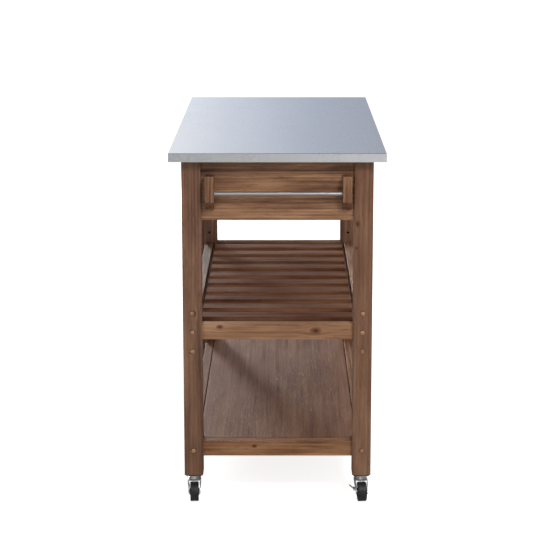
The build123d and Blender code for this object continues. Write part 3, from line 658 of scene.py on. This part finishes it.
joints = {joint["name"]: joint for joint in frame["record"]["behaviour"]["joints"]}
for corner in sorted(name[len("swivel_"):] for name in joints if name.startswith("swivel_")):
    stem = joints["swivel_" + corner]["pos_m"]
    along = joints["roll_" + corner]["axis"]
    hub = joints["roll_" + corner]["pos_m"]
    turn = Matrix.Rotation(math.atan2(along[1], along[0]), 4, "Z")
    fork_place = Matrix.Translation((stem[0], stem[1], 0)) @ turn
    hub_place = Matrix.Translation(hub) @ turn
    make_piece(
        "fine_fork_" + corner, fork_shape("brake_" + corner in joints), "caster_fork_" + corner,
        "caster_" + corner, zinc, fork_place, 0.35,
    )
    make_piece(
        "fine_axle_" + corner, turned_shape(AXLE_HALF, 32), "caster_axle_" + corner,
        "caster_" + corner, zinc, hub_place,
    )
    make_piece(
        "fine_wheel_" + corner, wheel_shape(), "caster_wheel_" + corner,
        "wheel_" + corner, black_wheel, hub_place,
    )
for name in ("connector_bolts", "hole_caps"):
    soften(nodes[name], 0.55)
for name in node_names:
    if name.startswith("brake_"):
        soften(nodes[name], 0.4)


# ---------------------------------------------------------------- floor, light and camera
FLOOR_GREY = (0.70, 0.70, 0.70)
FLOOR_LIFT = 0.82
ROOM = 0.30
BACKDROP = 0.75
# Glow from the left end of each card to its right end, over CARD_REACH metres each way.
CARD_REACH = 0.62
BACK_TONES = (
    (0.0, (1.22, 1.25, 1.30)), (0.3, (0.84, 0.89, 1.0)),
    (0.6, (0.54, 0.59, 0.71)), (1.0, (0.38, 0.41, 0.50)),
)
FRONT_TONES = ((0.0, (0.52, 0.515, 0.53)), (0.5, (0.84, 0.83, 0.81)), (1.0, (1.35, 1.32, 1.31)))
TOP_MIDDLE = (0.0, 0.0, cad_box[1][2])
END_FACE = (0.0, cad_box[0][1], 0.6)
LOWER_SHELF = (0.0, 0.0, 0.2)

scene = bpy.context.scene
scene.view_settings.view_transform = "Standard"


def floor_material():
    """Pale matte floor; what the camera sees of it is lifted towards the white backdrop."""
    sh = Shader("floor")
    seen = sh.put("LightPath").outputs["Is Camera Ray"]
    return sh.finish(
        Base_Color=FLOOR_GREY, Roughness=0.9, Specular_IOR_Level=0.1,
        Emission_Color=(1.0, 1.0, 1.0), Emission_Strength=sh.math("MULTIPLY", seen, FLOOR_LIFT),
    )


def pale_floor():
    bpy.ops.mesh.primitive_plane_add(size=60, location=(0, 0, -0.0005))
    floor = bpy.context.object
    floor.name = "floor"
    floor.data.materials.append(floor_material())
    return floor


def studio_world():
    """A white backdrop behind the cart, a dimmer room round the rest of it."""
    world = bpy.data.worlds.new("studio")
    scene.world = world
    world.use_nodes = True
    tree = world.node_tree
    sky = tree.nodes["Background"]
    direction = tree.nodes.new("ShaderNodeTexCoord").outputs["Generated"]
    split = tree.nodes.new("ShaderNodeSeparateXYZ")
    tree.links.new(direction, split.inputs[0])
    room = tree.nodes.new("ShaderNodeMapRange")
    room.interpolation_type = "SMOOTHSTEP"
    for socket, value in zip(room.inputs[1:5], (0.15, 0.9, ROOM, BACKDROP)):
        socket.default_value = value
    tree.links.new(split.outputs["Y"], room.inputs[0])
    path = tree.nodes.new("ShaderNodeLightPath")
    level = tree.nodes.new("ShaderNodeMix")
    tree.links.new(path.outputs["Is Camera Ray"], level.inputs[0])
    tree.links.new(room.outputs[0], level.inputs[2])
    level.inputs[3].default_value = 1.0
    tree.links.new(level.outputs[0], sky.inputs["Strength"])
    sky.inputs["Color"].default_value = (1.0, 0.99, 0.975, 1.0)


def gloss_card(name, y, z, height, tones):
    """An upright card that only the gloss sees, its glow running from left to right."""
    bpy.ops.mesh.primitive_plane_add(size=1, location=(0, y, z), rotation=(math.pi / 2, 0, 0))
    card = bpy.context.object
    card.name = name
    card.scale = (5.0, height, 1.0)
    sh = Shader(name)
    place = sh.put("NewGeometry").outputs["Position"]
    across = sh.put("SeparateXYZ", {0: place}).outputs["X"]
    glow = sh.ramp(sh.remap(across, -CARD_REACH, CARD_REACH), tones)
    light = sh.put("Emission", {"Color": glow, "Strength": 1.0}).outputs[0]
    sh.put("OutputMaterial", {"Surface": light})
    card.data.materials.append(sh.material)
    for kind in ("camera", "diffuse", "shadow", "transmission"):
        setattr(card, "visible_" + kind, False)
    return card


def soft_box(name, location, target, width, height, power, colour=(1, 1, 1)):
    """A rectangular studio light that faces its target."""
    data = bpy.data.lights.new(name, "AREA")
    data.shape = "RECTANGLE"
    data.size = width
    data.size_y = height
    data.energy = power
    data.color = colour
    light = bpy.data.objects.new(name, data)
    light.location = location
    light.rotation_euler = (Vector(target) - Vector(location)).to_track_quat("-Z", "Y").to_euler()
    light.visible_camera = False
    scene.collection.objects.link(light)
    return light


def keep_off(lights, shunned):
    """The named objects take no light from these lamps."""
    for light in lights:
        skipped = bpy.data.collections.new(light.name + "_skips")
        light.light_linking.receiver_collection = skipped
        for thing in shunned:
            skipped.objects.link(thing)
        for link in skipped.collection_objects:
            link.light_linking.link_state = "EXCLUDE"


pale_floor()
gloss_card("back_card", 3.0, 1.5, 1.6, BACK_TONES)
gloss_card("front_card", -5.2, 0.45, 0.86, FRONT_TONES)
studio_world()
key = soft_box("key", (1.1, -3.1, 3.0), END_FACE, 0.9, 0.9, 74, (1.0, 0.985, 0.96))
fill = soft_box("fill", (-1.5, -3.5, 1.75), END_FACE, 1.6, 1.6, 20)
window = soft_box("window", (-1.35, 4.1, 1.15), LOWER_SHELF, 0.45, 0.8, 84, (1.0, 0.965, 0.92))
overhead = soft_box("overhead", (0.6, 0.2, 3.4), TOP_MIDDLE, 1.6, 1.6, 30)
# The steel shows only the room and the cards, and the shelves lie in the shade of the top.
keep_off((fill, window, overhead), [nodes["top_sheet"]])
shelves = [nodes[name] for name in node_names if name.startswith("slat") or name == "low_panel"]
keep_off((key,), [nodes["top_sheet"], *shelves])

camera_data = bpy.data.cameras.new("camera")
camera = bpy.data.objects.new("camera", camera_data)
scene.collection.objects.link(camera)
scene.camera = camera
camera_data.sensor_width = 36.0
camera_data.lens = 108.73
camera_data.shift_x = -0.001
camera_data.shift_y = -0.0988
camera_data.clip_end = 100.0
camera.location = (0.0152, -4.6806, 1.5684)
camera.rotation_euler = (math.radians(90.0 - 11.428), 0.0, math.radians(0.103))
